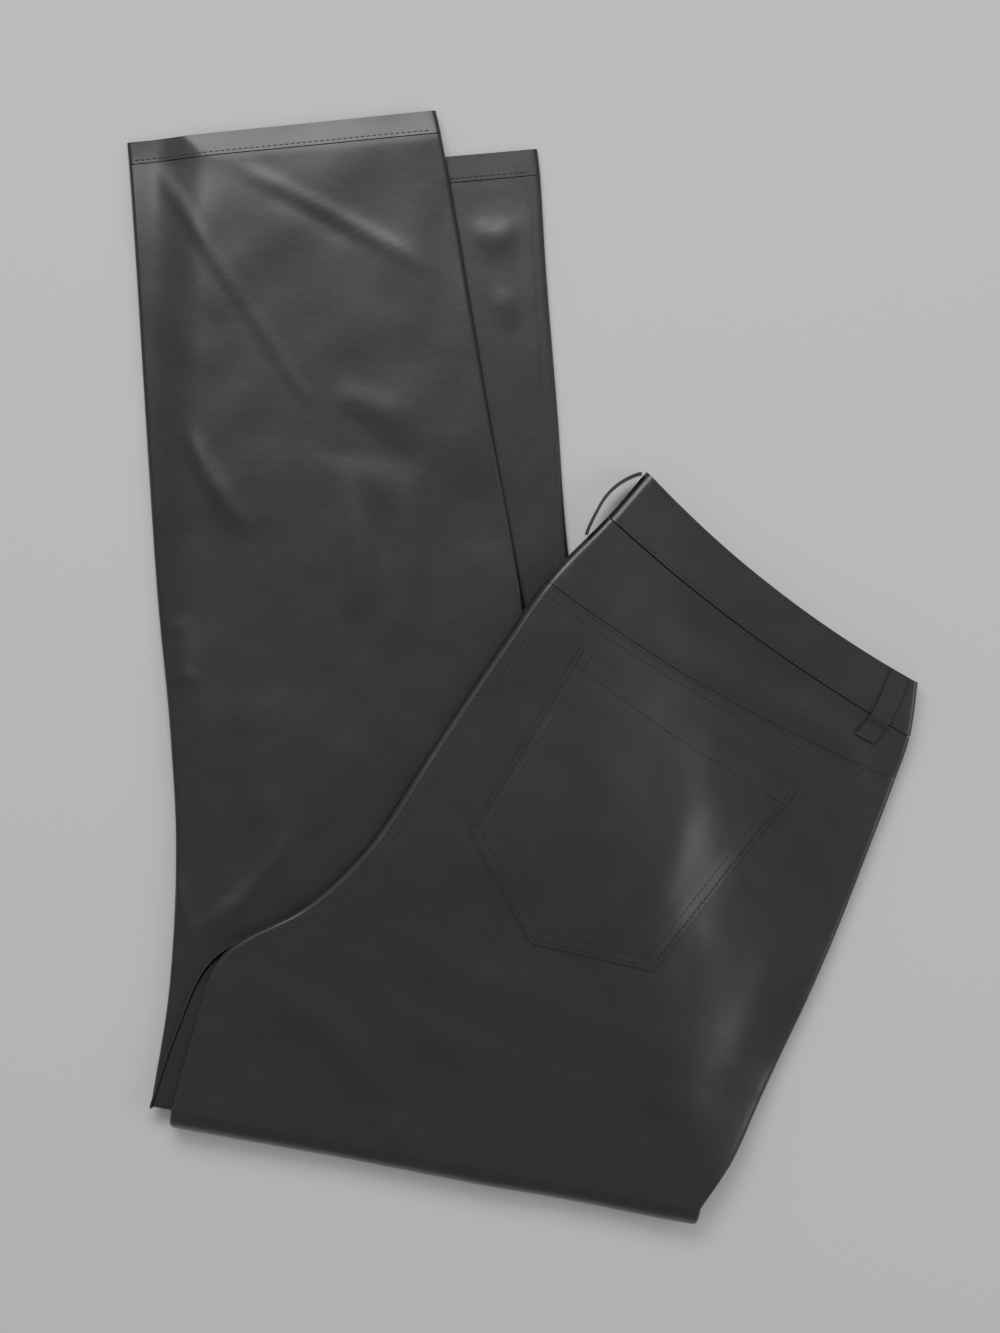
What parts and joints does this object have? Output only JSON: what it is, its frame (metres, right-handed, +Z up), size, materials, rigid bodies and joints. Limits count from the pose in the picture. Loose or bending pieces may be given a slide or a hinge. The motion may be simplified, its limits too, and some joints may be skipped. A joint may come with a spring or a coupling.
{
  "type": "faux leather trousers",
  "caption": "Straight-leg high-rise trousers in glossy black faux leather, folded lengthwise and then across the thighs to lie flat on a shelf or table.",
  "frame": {"origin": "middle of the garment's outline in plan, on the surface that it lies on", "axes": "+Z up from that surface, +Y towards the hems, +X towards the side of the waist"},
  "size_m": [0.473, 0.6644, 0.0257],
  "materials": {
    "leather": "glossy coated cloth",
    "leather_trim": "glossy coated cloth, stiffened"
  },
  "bodies": {
    "root": {"right_back": "leather", "left_back": "leather", "right_front": "leather", "left_front": "leather", "hidden_layers": "leather", "right_yoke": "leather", "left_yoke": "leather", "waistband": "leather_trim", "right_pocket": "leather", "left_pocket": "leather", "centre_loop": "leather_trim", "right_loop": "leather_trim", "left_loop": "leather_trim", "left_hem": "leather", "right_hem": "leather"}
  },
  "joints": []
}
